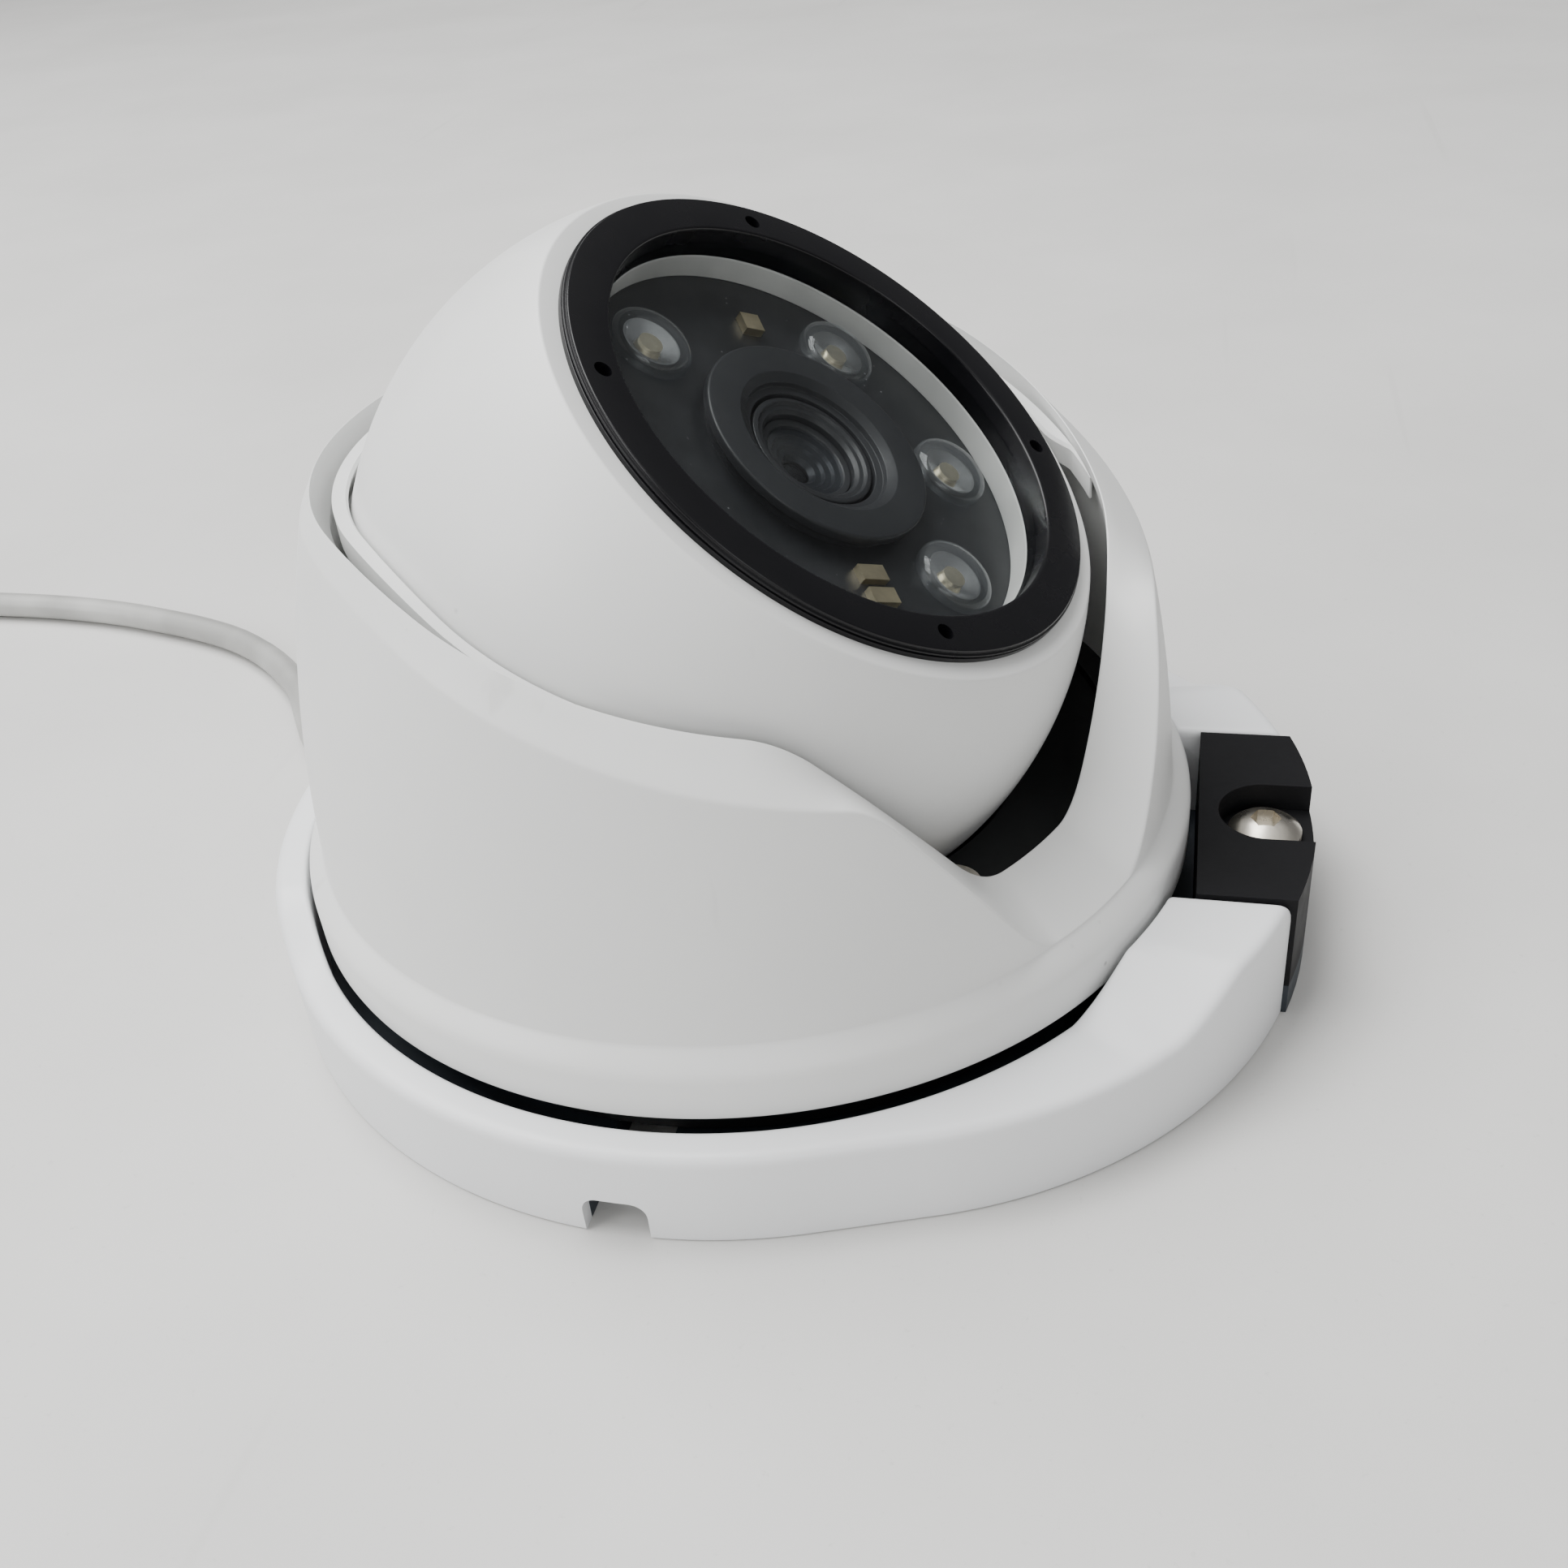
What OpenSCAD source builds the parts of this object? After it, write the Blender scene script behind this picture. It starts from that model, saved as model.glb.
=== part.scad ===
// Dome security camera: eyeball turret on a round base, with a clamp block and a cable.
// Millimetres, +Z up. The origin is on the turning axis at the mounting face.

/* [Base] */
// Radius of the round part of the base ring
ring_r = 47.4; // [40:0.1:60]
// Height of the base ring
ring_h = 9.5; // [6:0.1:14]
// Radial gap between the base ring and the housing's foot
ring_gap = 0.6; // [0.4:0.1:1.5]
// How far the clamp side bulges past the round part
bulge = 7.3; // [4:0.1:12]
// Rounding of the base ring's upper edge
ring_round = 1.2; // [0.4:0.1:2]
// Height of the raised platform beside the clamp block
platform_h = 13.1; // [10:0.1:18]
// Half width of the raised platform
platform_half = 22.5; // [18:0.5:26]
// Length of the ramp down from the platform
ramp_length = 6.5; // [3:0.5:9]
// Thickness of the base plate
plate_t = 3.2; // [2:0.1:5]
// Radius of the cable hole in the base plate
cable_hole_r = 20; // [16:0.5:22]
// Circle of the ceiling screws
mount_pcd = 52; // [48:0.5:56]
// Radius of a ceiling screw hole
mount_hole_r = 2.25; // [1.5:0.05:3]
// Width of a cable notch
notch_w = 5.7; // [4.6:0.1:8]
// Height of a cable notch
notch_h = 4; // [3.8:0.1:5]
// Direction of the front cable notch, degrees
front_notch_az = -91; // [-120:1:-60]
// Direction of the rear cable notch, degrees
rear_notch_az = 165; // [140:1:200]

/* [Clamp block] */
// Half width of the gap in the ring that holds the block
clamp_half = 13.5; // [11:0.1:16]
// Clearance round the block
clamp_gap = 0.25; // [0.1:0.05:0.6]
// Distance of the lock screw from the turning axis
lock_x = 50.6; // [49:0.1:52]
// Radius of the lock screw's shank
lock_r = 2; // [1.5:0.05:2.5]
// Radius of the lock screw's head
lock_head_r = 3.4; // [2.8:0.1:4]
// Height of the lock screw's head
lock_head_h = 2.2; // [1.6:0.1:3]
// Running clearance of turning parts
run_gap = 0.08; // [0.03:0.01:0.1]

/* [Housing] */
// Radius of the housing's foot
foot_r = 43.6; // [43:0.1:46]
// Height of the foot above the ring
foot_lift = 0.6; // [0.4:0.1:1.2]
// Height of the foot's upright band
foot_band = 4.8; // [3:0.1:7]
// Height of the shoulder above the band
shoulder_h = 2.3; // [1:0.1:4]
// Inward step of the shoulder
shoulder_in = 1.9; // [1:0.1:3]
// Wall thickness of the housing
wall = 2.6; // [1.8:0.1:3.2]
// Radius of the wall's bulging side
wall_bulge = 116; // [90:1:200]
// Height of the widest point of that side
bulge_z = 12; // [8:0.5:16]
// Tilt of the upper rim, degrees
rim_tilt = 19.3; // [12:0.1:24]
// Direction of the low side of the rim, degrees
front_az = -30; // [-60:1:0]
// Height of the rim's slanted outer edge above the ball centre
rim_above = 9.7; // [8:0.1:12]
// Height of the rim's level rear half above the ball centre
rear_above = 12.2; // [10:0.1:16]
// Depth of the rim's bevel
bevel = 2.4; // [1.5:0.1:3]
// Half width of the scallop at its floor
scallop_half = 7.5; // [5:0.1:10]
// Height of the scallop's floor at the inner edge
scallop_floor = 20.6; // [19:0.1:24]
// Gap between the ball and its seat
seat_gap = 0.35; // [0.3:0.01:0.6]

/* [Eyeball] */
// Radius of the eyeball
ball_r = 33.7; // [32.5:0.1:34]
// Height of the eyeball's centre
ball_z = 37.1; // [35:0.1:48]
// Wall thickness of the eyeball
shell_t = 2.2; // [1.6:0.1:3]
// Lens elevation at rest, degrees
lens_elev = 51.5; // [40:0.5:70]
// Lens direction at rest, degrees
lens_az = -10; // [-30:1:10]
// Outer radius of the front bezel
bezel_r = 25.5; // [22:0.1:29]
// Radius of the window opening
window_r = 21.6; // [18:0.1:24]
// Depth of the glass below the bezel's face
glass_depth = 1.6; // [0.6:0.1:2.4]
// Thickness of the glass
glass_t = 1.5; // [1:0.1:2]
// Radius of the lens hood
hood_r = 11; // [8:0.1:13]
// Radius of one infrared lamp
led_r = 3.8; // [2.5:0.1:4.2]
// Circle radius of the lamps
led_circle = 16.4; // [14:0.1:18]
// Radius of the cable gland's stem
gland_r = 4.9; // [3.5:0.1:6]

/* [Cable] */
// Radius of the cable
cable_r = 1.75; // [1.4:0.05:2.2]
// Radius of each short tail
tail_r = 1.3; // [1:0.05:1.6]
// Radius of the coil at the middle of its turns
coil_r = 19; // [16:0.5:24]
// Full turns in the coil, before its last quarter turn
coil_turns = 3; // [2:1:5]

/* [Hidden] */
$fn = 96;
eps = 0.01;

ring_bore = foot_r + ring_gap;
bulge_x = bulge + 3.4;
bulge_r = ring_r - 3.4;
ring_out = bulge_x + bulge_r;
foot_z = ring_h + foot_lift;
shoulder_z = foot_z + foot_band;
wall_z = shoulder_z + shoulder_h;
wall_r = foot_r - shoulder_in;
liner_r = foot_r - 5;
spigot_r = liner_r - 2.6;
spigot_z = ring_h - 0.5;
liner_z = plate_t + 0.8;
cradle_z = spigot_z + 2.8;
cradle_top = ball_z - ball_r * 0.585;
lock_z = platform_h - 0.6 - lock_head_h;
ring_screw_at = [ring_bore * 0.915, ring_bore * 0.57];
ball_seat = ball_r + seat_gap;
lip_t = 2.4;
rear_z = ball_z + rear_above;
rear_r = wall_r - (rear_z - bulge_z) * (rear_z - bulge_z) / (2 * wall_bulge) + 0.3;
front_r = (foot_r + rear_r) / 2 - 2.7;
face_z = ball_r * 0.6246;
shell_face = face_z - 1.15;
shell_bore = bezel_r - 1;
sleeve_in = window_r + 1.4;
glass_top = face_z - glass_depth;
glass_low = glass_top - glass_t;
board_top = glass_low - 2.4;
board_t = 1.2;
sleeve_end = board_top - 4;
seam_z = -8;
lamp_az = [-92, -40, 16, 100];
post_az = [90, 210, 330];
tab_az = [21, -152];
sensor_z = 2.4;
hood_top = glass_low - 0.3;
lens_top = hood_top - 1.2;
cable_z = cable_r + 0.1;
notch_out = [cos(rear_notch_az), sin(rear_notch_az)];

// The cable's path from the base to the coil, as centre points on the table. It is counted from
// where the cable leaves the ring, so that it follows the ring's size.
exit_at = [ring_r * notch_out[0], ring_r * notch_out[1]];
cable_run = [[-10.2, 3.3], [-14.5, 6.7], [-18.8, 12.7], [-23, 18.7], [-30, 25.3], [-37.5, 30.1],
    [-45.2, 33.1], [-53.2, 35.2], [-60.2, 36.7], [-68.2, 37.7], [-75.2, 38.1], [-82.2, 38.2],
    [-90.2, 38.2], [-98.2, 38.2], [-106.2, 38.2], [-114.2, 38.2], [-122.2, 38.2]];
cable_path = [
    for (r = [23, 31, 39, ring_r, ring_r + 5.6]) [r * notch_out[0], r * notch_out[1], cable_z],
    for (p = cable_run) [exit_at[0] + p[0], exit_at[1] + p[1], cable_z]];
coil_x = exit_at[0] - 122.2;
coil_y = exit_at[1] + 38.2 - coil_r;
coil_top = cable_z + (coil_turns + 0.25) * 2 * cable_r;
out_x = coil_x - coil_r;
split_y = coil_y - 42;
split_z = 3.5;
split_len = 18;
tail_y = split_y - split_len;
drop = coil_top - split_z;

// Each row of a fall is a distance along -Y and the share of the drop made by then.
run_out_fall = [[0, 0], [6, 0], [12, 0], [17, 0.1], [22, 0.36], [27, 0.68], [32, 0.92], [37, 1], [42, 1]];
out_path = [for (p = run_out_fall) [out_x, coil_y - p[0], coil_top - drop * p[1]]];

// Each row of a tail is a sideways place, a distance along -Y and a height.
video_path = [for (p = [[-3, 0, split_z], [-3, 4, 3.2], [-3, 12, 2], [-2.8, 20, 1.8], [-2.4, 28, 3.4],
    [-2, 35, 5.8], [-2, 40, 6.8], [-2, 44, 6.8]]) [out_x + p[0], tail_y - p[1], p[2]]];
power_path = [for (p = [[3, 0, split_z], [3, 4, 3.2], [4, 12, 2], [6.5, 20, 1.8], [9.5, 28, 2.6],
    [11.4, 35, 4.2], [12, 40, 5], [12, 44, 5]]) [out_x + p[0], tail_y - p[1], p[2]]];

white = [0.93, 0.93, 0.92];
black = [0.05, 0.05, 0.055];
steel = [0.75, 0.74, 0.72];
board = [0.06, 0.07, 0.07];
grey = [0.72, 0.72, 0.7];

module turn_to(az) {
    rotate([0, 0, az]) children();
}

// The eyeball's own frame: +Z runs out along the lens.
module lens_frame() {
    translate([0, 0, ball_z]) rotate([0, 90 - lens_elev, lens_az]) children();
}

// The tilted frame of the upper rim, with its origin at the ball centre.
module rim_frame() {
    translate([0, 0, ball_z]) rotate([0, rim_tilt, front_az]) children();
}

module ring_at(r_out, r_in, z0, z1) {
    translate([0, 0, z0]) difference() {
        cylinder(r = r_out, h = z1 - z0);
        translate([0, 0, -eps]) cylinder(r = r_in, h = z1 - z0 + 2 * eps);
    }
}

module rounded_disc(r, h, round) {
    rotate_extrude($fn = 96) {
        square([r - round, h]);
        square([r, h - round]);
        translate([r - round, h - round]) circle(r = round, $fn = 24);
    }
}

module ring_body(h) {
    hull() {
        rounded_disc(ring_r, h, ring_round);
        translate([bulge_x, 0, 0]) rounded_disc(bulge_r, h, ring_round);
    }
}

module notch_cut(az, depth) {
    turn_to(az) translate([10, 0, -1]) {
        translate([0, -notch_w / 2, 0]) cube([depth, notch_w, 1 + notch_h - 1.5]);
        translate([0, -notch_w / 2 + 1.5, 0]) cube([depth, notch_w - 3, 1 + notch_h]);
        for (s = [-1, 1]) translate([0, s * (notch_w / 2 - 1.5), notch_h - 0.5])
            rotate([0, 90, 0]) cylinder(r = 1.5, h = depth, $fn = 32);
    }
}

module platform_zone() {
    translate([20, 0, 0]) rotate([90, 0, 90]) linear_extrude(ring_out) polygon([
        [-platform_half - ramp_length, ring_h - 2], [-platform_half - ramp_length, ring_h],
        [-platform_half, platform_h], [platform_half, platform_h],
        [platform_half + ramp_length, ring_h], [platform_half + ramp_length, ring_h - 2]]);
}

// Base

module plate_outline() {
    hull() {
        circle(r = ring_r - 1.4);
        translate([bulge_x, 0]) circle(r = bulge_r - 1.4);
    }
}

module small_screw(tip) {
    cylinder(r = 1, h = tip);
    translate([0, 0, 0.3]) cylinder(r = 1.9, h = 1.1);
}

module small_screw_hole(depth) {
    translate([0, 0, -eps]) cylinder(r = 1, h = depth + eps);
    translate([0, 0, -eps]) cylinder(r = 1.9, h = 1.4 + eps);
}

module base_plate() {
    color(black) difference() {
        union() {
            linear_extrude(plate_t) plate_outline();
            ring_at(spigot_r, spigot_r - 3.4, plate_t - eps, spigot_z);
            intersection() {
                translate([30, -clamp_half + clamp_gap, 0])
                    cube([60, 2 * (clamp_half - clamp_gap), plate_t]);
                translate([bulge_x, 0, 0]) cylinder(r = bulge_r + 0.4, h = plate_t);
            }
        }
        translate([0, 0, -eps]) cylinder(r = cable_hole_r, h = plate_t + 1);
        for (a = [90, 210, 330]) turn_to(a) translate([mount_pcd / 2, 0, -eps])
            cylinder(r = mount_hole_r, h = plate_t + 1);
        translate([lock_x, 0, -eps]) cylinder(r = lock_r + 1.2, h = plate_t + 1);
        for (s = [-1, 1]) translate([lock_x, s * 9.5, 0]) small_screw_hole(plate_t + 1);
        for (s = [-1, 1]) translate([ring_screw_at[0], s * ring_screw_at[1], 0])
            small_screw_hole(plate_t + 1);
        for (a = [30, 150, 270]) turn_to(a) translate([spigot_r - 1.7, 0, spigot_z - 4])
            cylinder(r = 0.8, h = 5);
        notch_cut(front_notch_az, ring_r);
        notch_cut(rear_notch_az, ring_r);
    }
}

module trim_ring() {
    color(white) {
        difference() {
            union() {
                ring_body(ring_h);
                intersection() {
                    ring_body(platform_h);
                    platform_zone();
                }
            }
            translate([0, 0, -eps]) cylinder(r = ring_bore, h = platform_h + 1);
            translate([0, 0, -eps]) linear_extrude(plate_t + eps) plate_outline();
            translate([20, -clamp_half, -1]) cube([60, 2 * clamp_half, platform_h + 2]);
            notch_cut(front_notch_az, ring_r);
            notch_cut(rear_notch_az, ring_r);
            for (s = [-1, 1]) translate([ring_screw_at[0], s * ring_screw_at[1], 0]) small_screw_hole(8);
        }
        for (a = tab_az) turn_to(a) translate([ring_bore - 1.6, -1.2, plate_t])
            cube([1.9, 2.4, ring_h - plate_t]);
    }
}

module ring_screws() {
    color(steel) for (s = [-1, 1]) translate([ring_screw_at[0], s * ring_screw_at[1], 0]) intersection() {
        small_screw(8);
        translate([-3, -3, 0.3]) cube([6, 6, 10]);
    }
}

module retainer_ring() {
    color(steel) difference() {
        ring_at(spigot_r + 1.2, spigot_r - 3.4, spigot_z, spigot_z + 1.2);
        for (a = [30, 150, 270]) turn_to(a) translate([spigot_r - 1.7, 0, spigot_z - eps])
            cylinder(r = 0.8, h = 2);
    }
}

module retainer_screws() {
    color(steel) for (a = [30, 150, 270]) turn_to(a) translate([spigot_r - 1.7, 0, spigot_z - 4]) {
        cylinder(r = 0.8, h = 5.2);
        translate([0, 0, 5.2]) cylinder(r = 1.5, h = 0.9);
    }
}

module clamp_block() {
    color(black) difference() {
        intersection() {
            translate([ring_bore + 0.2, -clamp_half + clamp_gap, plate_t])
                cube([12, 2 * (clamp_half - clamp_gap), platform_h - plate_t]);
            translate([bulge_x, 0, 0]) cylinder(r = bulge_r + 0.4, h = platform_h);
        }
        translate([lock_x, 0, lock_z]) cylinder(r = lock_head_r + 1, h = 10);
        translate([lock_x, -lock_head_r - 1, lock_z]) cube([12, 2 * (lock_head_r + 1), 10]);
        translate([lock_x, 0, 0]) cylinder(r = lock_r + run_gap, h = 20);
        for (s = [-1, 1]) translate([lock_x, s * 9.5, plate_t - eps]) cylinder(r = 1, h = 5 + eps);
    }
}

module lock_insert() {
    color([0.75, 0.6, 0.3]) translate([lock_x, 0, 0]) ring_at(lock_r + 1.2, lock_r + run_gap, 0.3, plate_t);
}

module block_screws() {
    color(steel) for (s = [-1, 1]) translate([lock_x, s * 9.5, 0]) intersection() {
        small_screw(plate_t + 5);
        translate([-3, -3, 0.3]) cube([6, 6, 10]);
    }
}

module cable_grommet() {
    color([0.2, 0.2, 0.2]) difference() {
        union() {
            intersection() {
                notch_cut(rear_notch_az, ring_r);
                ring_at(ring_r - 0.3, ring_bore - 2, 0, notch_h + 1);
            }
            turn_to(rear_notch_az) translate([ring_r - 1, 0, cable_z]) rotate([0, 90, 0]) difference() {
                cylinder(r1 = notch_h - cable_z, r2 = cable_r + 0.15, h = 5.5);
                translate([cable_z, -5, -1]) cube([5, 10, 8]);
            }
        }
        turn_to(rear_notch_az) translate([10, 0, cable_z]) rotate([0, 90, 0])
            cylinder(r = cable_r + 0.02, h = 60);
    }
}

module lock_screw() {
    color(steel) translate([lock_x, 0, 0]) difference() {
        union() {
            translate([0, 0, 0.8]) cylinder(r = lock_r, h = lock_z - 0.7);
            translate([0, 0, lock_z + 0.05]) rotate_extrude() intersection() {
                square([lock_head_r, lock_head_h]);
                translate([0, lock_head_h - lock_head_r * 1.35]) circle(r = lock_head_r * 1.35);
            }
        }
        translate([0, 0, lock_z + lock_head_h - 1.3]) cylinder(r = 1.45, h = 3, $fn = 6);
    }
}

// Turning housing

module wall_profile(inset) {
    intersection() {
        translate([0, wall_z]) square([100, 60]);
        translate([wall_r + (wall_z - bulge_z) * (wall_z - bulge_z) / (2 * wall_bulge), bulge_z])
            translate([-wall_bulge, 0]) circle(r = wall_bulge - inset, $fn = 256);
        square([100, 100]);
    }
}

module scallop_cut() {
    turn_to(front_az) hull() {
        for (s = [-1, 1]) {
            translate([20, s * (scallop_half - 1.5), scallop_floor + 8.3]) rotate([0, 90, 0])
                cylinder(r = 3, h = 1, $fn = 32);
            translate([56, s * (scallop_half + 1.5), scallop_floor - 7.9]) rotate([0, 90, 0])
                cylinder(r = 3, h = 1, $fn = 32);
            translate([20, s * (scallop_half + 15), ball_z + 16]) cube([1, 0.1, 0.1]);
            translate([56, s * (scallop_half + 24), ball_z + 20]) cube([1, 0.1, 0.1]);
        }
    }
}

// Everything below the rim and its bevel: slanted at the front and level at the rear.
module rim_caps() {
    intersection() {
        rim_frame() translate([2, 0, rim_above - 60])
            cylinder(r1 = front_r + 60, r2 = front_r - bevel, h = 60 + bevel);
        translate([0, 0, rear_z - 60]) cylinder(r1 = rear_r + 60, r2 = rear_r - bevel, h = 60 + bevel);
    }
}

module shroud() {
    color(white) difference() {
        intersection() {
            rotate_extrude() difference() {
                union() {
                    wall_profile(0);
                    polygon([[0, foot_z], [foot_r, foot_z], [foot_r, shoulder_z],
                        [wall_r, wall_z], [wall_r, wall_z + 0.5], [0, wall_z + 0.5]]);
                }
                wall_profile(wall);
                square([liner_r, wall_z + 0.5]);
            }
            rim_caps();
        }
        scallop_cut();
    }
}

// Everything below the rim by h, with a flat top.
module under_rim(h) {
    intersection() {
        rim_frame() translate([0, 0, -80]) cylinder(r = 140, h = 80 + rim_above - h);
        cylinder(r = 90, h = rear_z - h);
    }
}

module seat_ring() {
    color(white) difference() {
        intersection() {
            rotate_extrude() wall_profile(wall);
            under_rim(0.3 - bevel / 2);
        }
        under_rim(0.3 - bevel / 2 + lip_t);
        translate([0, 0, ball_z]) sphere(r = ball_seat);
        scallop_cut();
    }
}

module inner_liner() {
    color(black) difference() {
        ring_at(liner_r, spigot_r + run_gap, liner_z, scallop_floor - 2.2);
        ring_at(liner_r - 1.1, 10, spigot_z - 0.3, cradle_z - 0.3);
    }
}

module cradle_arc() {
    turn_to(front_az) translate([0, 0, cradle_z - 1]) linear_extrude(20) polygon([
        [0, 0], [-30, 60], [60, 60], [60, -60], [-30, -60]]);
}

module ball_cradle() {
    color(black) difference() {
        intersection() {
            translate([0, 0, cradle_z]) cylinder(r = spigot_r + run_gap, h = cradle_top - cradle_z);
            cradle_arc();
        }
        translate([0, 0, ball_z]) sphere(r = ball_seat);
        for (a = [-78, -12, 66]) turn_to(front_az + a) translate([spigot_r - 4, 0, cradle_z - eps])
            cylinder(r = 1.5, h = 30);
    }
}

module cradle_screws() {
    color(steel) for (a = [-78, -12, 66]) turn_to(front_az + a) translate([spigot_r - 4, 0, 0]) {
        translate([0, 0, cradle_z]) cylinder(r = 1.5, h = cradle_top - cradle_z);
        translate([0, 0, cradle_top]) difference() {
            cylinder(r = 2.7, h = 1.5);
            for (q = [0, 90]) rotate([0, 0, q]) translate([-1.5, -0.3, 0.7]) cube([3, 0.6, 2]);
        }
    }
}

// Tilting gland

module cable_gland() {
    color([0.15, 0.15, 0.15]) lens_frame() difference() {
        union() {
            translate([0, 0, -ball_r - 1.3]) cylinder(r1 = gland_r + 0.8, r2 = gland_r + 1.6, h = 1.1);
            translate([0, 0, -ball_r - 0.3]) cylinder(r = gland_r, h = shell_t + 2.9);
            translate([0, 0, -ball_r + shell_t + 1.1]) cylinder(r = gland_r + 1.6, h = 1.5);
        }
        translate([0, 0, -ball_r - 2]) cylinder(r = cable_r + 0.3, h = 20);
    }
}

module gland_nut() {
    color(steel) lens_frame() translate([0, 0, -ball_r + shell_t + 2.6]) difference() {
        cylinder(r = gland_r + 1.6, h = 2, $fn = 6);
        translate([0, 0, -1]) cylinder(r = cable_r + 0.5, h = 5);
    }
}

// Eyeball

module front_shell() {
    color(white) lens_frame() rotate_extrude() difference() {
        intersection() {
            circle(r = ball_r, $fn = 256);
            union() {
                translate([shell_bore, seam_z]) square([ball_r, shell_face - seam_z]);
                translate([shell_bore - 1.6, board_top - 6.2]) square([ball_r, 1.2]);
            }
        }
        difference() {
            circle(r = ball_r - shell_t, $fn = 256);
            translate([0, board_top - 6.2]) square([ball_r, 20]);
        }
    }
}

module rear_shell() {
    color(white) lens_frame() rotate_extrude() difference() {
        intersection() {
            circle(r = ball_r, $fn = 256);
            translate([gland_r + run_gap, -ball_r - 1]) square([ball_r, ball_r + 1 + seam_z]);
        }
        circle(r = ball_r - shell_t, $fn = 256);
        translate([ball_r - 2.6, seam_z - 0.9]) square([1, 1]);
    }
}

module shell_seal() {
    color(black) lens_frame() ring_at(ball_r - 1.6, ball_r - 2.6, seam_z - 0.9, seam_z);
}

module front_bezel() {
    color(black) lens_frame() difference() {
        rotate_extrude() difference() {
            union() {
                polygon([[window_r, shell_face], [bezel_r, shell_face], [bezel_r, face_z - 0.3],
                    [bezel_r - 0.3, face_z], [window_r + 0.3, face_z], [window_r, face_z - 0.3]]);
                translate([window_r, sleeve_end])
                    square([shell_bore - 0.05 - window_r, shell_face - sleeve_end]);
            }
            translate([0, board_top - 5]) square([sleeve_in, glass_low - board_top + 5]);
        }
        for (a = [0:90:270]) rotate([0, 0, 49 + a]) translate([(bezel_r + window_r) / 2, 0, face_z - 1.2])
            cylinder(r = 0.8, h = 3);
    }
}

module bezel_seal() {
    color([0.1, 0.1, 0.1]) lens_frame()
        ring_at(shell_bore - 0.05, shell_bore - 1.2, sleeve_end - 1, sleeve_end);
}

module window_glass() {
    color([0.8, 0.9, 0.95, 0.35]) lens_frame() translate([0, 0, glass_low])
        cylinder(r = window_r, h = glass_t);
}

module spacer_ring() {
    color([0.95, 0.95, 0.95]) lens_frame() ring_at(sleeve_in - 0.1, window_r - 0.1, board_top, glass_low);
}

module led_board() {
    color(board) lens_frame() difference() {
        translate([0, 0, board_top - board_t]) cylinder(r = sleeve_in - 0.1, h = board_t);
        translate([0, 0, board_top - 2]) cylinder(r = hood_r - 2.2, h = 3);
    }
}

module lamp_at(i) {
    rotate([0, 0, lamp_az[i] + 90]) translate([led_circle, 0, board_top]) children();
}

module ir_lamps() {
    color([0.85, 0.9, 0.92, 0.5]) lens_frame() for (i = [0:3]) lamp_at(i) difference() {
        rotate_extrude() intersection() {
            square([led_r, 2.2]);
            translate([0, 2.15 - led_r * 1.15]) circle(r = led_r * 1.15);
        }
        translate([0, 0, -eps]) cylinder(r = 1.2, h = 0.6);
    }
}

module lamp_emitters() {
    color([0.85, 0.75, 0.3]) lens_frame() for (i = [0:3]) lamp_at(i) cylinder(r = 1.1, h = 0.5);
}

module board_parts() {
    color([0.5, 0.48, 0.42]) lens_frame() translate([0, 0, board_top]) {
        rotate([0, 0, -38]) translate([12.6, -1.4, 0]) cube([1.6, 2.8, 0.7]);
        rotate([0, 0, -38]) translate([15.0, -1.4, 0]) cube([1.6, 2.8, 0.7]);
        rotate([0, 0, 140]) translate([14.5, -1, 0]) cube([2, 2, 0.8]);
    }
}

module lens_hood() {
    color(black) lens_frame() rotate_extrude() polygon([
        [hood_r - 3.4, hood_top], [hood_r, hood_top], [hood_r, hood_top - 0.9],
        [hood_r - 0.8, hood_top - 0.9], [hood_r - 0.8, board_top], [hood_r - 2.2, board_top],
        [hood_r - 2.2, board_top - 2.6], [hood_r - 4.6, board_top - 2.6], [hood_r - 4.6, lens_top - 0.6]]);
}

module lens_barrel() {
    color(black) lens_frame() {
        ring_at(6, 4.6, sensor_z + 5, lens_top);
    }
}

module lens_glass() {
    color([0.3, 0.35, 0.45, 0.6]) lens_frame() intersection() {
        translate([0, 0, lens_top - 3]) cylinder(r = 4.6, h = 6);
        translate([0, 0, lens_top - 14.3]) sphere(r = 14);
    }
}

module lens_holder() {
    color(black) lens_frame() difference() {
        union() {
            translate([-8, -8, sensor_z + 2.4]) cube([16, 16, 3]);
            translate([0, 0, sensor_z + 5.3]) cylinder(r = 7.6, h = 4);
            for (s = [-1, 1]) translate([s * 10, 0, sensor_z + 2.4]) cylinder(r = 2.6, h = 3);
        }
        translate([0, 0, sensor_z + 5]) cylinder(r = 6, h = 20);
        translate([-6, -6, sensor_z + 2.3]) cube([12, 12, 2]);
        translate([0, 0, sensor_z]) cylinder(r = 4.5, h = 20);
        for (s = [-1, 1]) translate([s * 10, 0, sensor_z]) cylinder(r = 1, h = 10);
    }
}

module holder_screws() {
    color(steel) lens_frame() for (s = [-1, 1]) translate([s * 10, 0, 0]) {
        translate([0, 0, sensor_z]) cylinder(r = 1, h = 5.4);
        translate([0, 0, sensor_z + 5.4]) cylinder(r = 1.9, h = 1.2);
    }
}

module sensor_board() {
    color([0.05, 0.2, 0.1]) lens_frame() difference() {
        translate([0, 0, sensor_z + 0.8]) cylinder(r = 18, h = 1.6);
        for (s = [-1, 1]) translate([s * 10, 0, 0]) cylinder(r = 1, h = 10);
        for (a = post_az) rotate([0, 0, a]) translate([hood_r + 1.7, 0, 0]) cylinder(r = 1, h = 10);
    }
}

module image_sensor() {
    color([0.2, 0.2, 0.25]) lens_frame() translate([-4, -3.5, sensor_z + 2.4]) cube([8, 7, 1.2]);
}

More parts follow.
